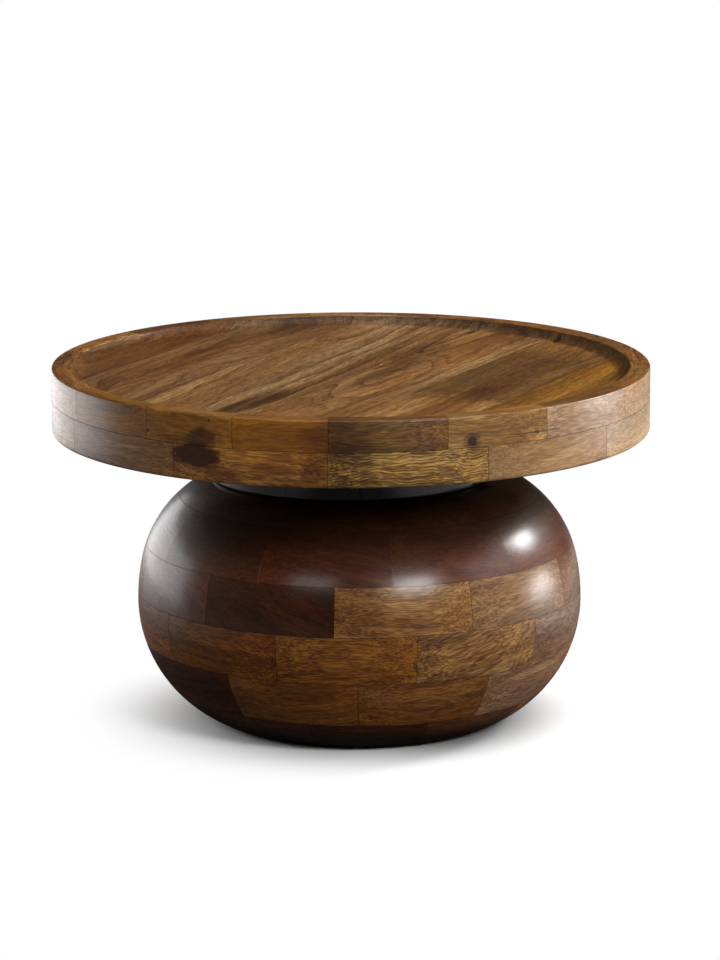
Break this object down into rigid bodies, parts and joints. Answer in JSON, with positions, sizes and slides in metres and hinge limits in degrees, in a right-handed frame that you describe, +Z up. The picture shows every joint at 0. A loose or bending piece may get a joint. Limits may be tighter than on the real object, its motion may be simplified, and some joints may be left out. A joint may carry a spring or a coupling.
{
  "type": "drum table",
  "caption": "Low round wooden table: a shallow dished tray top on a turned neck and a hollow ball-shaped drum of brick-laid wood blocks.",
  "frame": {"origin": "on the floor, under the centre of the tray top", "axes": "+Z up; the side seen in the picture faces -Y; +X to the right seen from the front"},
  "size_m": [0.762, 0.762, 0.46],
  "materials": {
    "tray_planks": "satin lacquer over brown stain",
    "tray_bands": "satin lacquer over brown stain",
    "battens": "thin stain, matt",
    "neck": "dark stain, gloss lacquer",
    "drum": "gloss lacquer over dark brown stain",
    "zinc_steel": "zinc plated",
    "brass": "machined",
    "felt": "pressed felt"
  },
  "bodies": {
    "root": {"batten_1": "battens", "batten_2": "battens", "batten_3": "battens", "batten_4": "battens", "batten_screws": "zinc_steel", "bolt_washers": "zinc_steel", "drum_course_2": "drum", "drum_course_3": "drum", "drum_course_4": "drum", "drum_course_5": "drum", "drum_foot_course": "drum", "drum_lid_board_1": "drum", "drum_lid_board_2": "drum", "drum_lid_board_3": "drum", "drum_lid_board_4": "drum", "felt_pads": "felt", "lower_band_segment_01": "tray_bands", "lower_band_segment_02": "tray_bands", "lower_band_segment_03": "tray_bands", "lower_band_segment_04": "tray_bands", "lower_band_segment_05": "tray_bands", "lower_band_segment_06": "tray_bands", "lower_band_segment_07": "tray_bands", "lower_band_segment_08": "tray_bands", "lower_band_segment_09": "tray_bands", "lower_band_segment_10": "tray_bands", "lower_band_segment_11": "tray_bands", "lower_band_segment_12": "tray_bands", "neck_stave_1": "neck", "neck_stave_2": "neck", "neck_stave_3": "neck", "neck_stave_4": "neck", "threaded_inserts": "brass", "tray_bolts": "zinc_steel", "tray_plank_1": "tray_planks", "tray_plank_2": "tray_planks", "tray_plank_3": "tray_planks", "tray_plank_4": "tray_planks", "tray_plank_5": "tray_planks", "tray_plank_6": "tray_planks", "upper_band_segment_01": "tray_bands", "upper_band_segment_02": "tray_bands", "upper_band_segment_03": "tray_bands", "upper_band_segment_04": "tray_bands", "upper_band_segment_05": "tray_bands", "upper_band_segment_06": "tray_bands", "upper_band_segment_07": "tray_bands", "upper_band_segment_08": "tray_bands", "upper_band_segment_09": "tray_bands", "upper_band_segment_10": "tray_bands", "upper_band_segment_11": "tray_bands", "upper_band_segment_12": "tray_bands", "upper_band_segment_13": "tray_bands", "upper_band_segment_14": "tray_bands", "upper_band_segment_15": "tray_bands", "upper_band_segment_16": "tray_bands", "upper_band_segment_17": "tray_bands"}
  },
  "joints": []
}
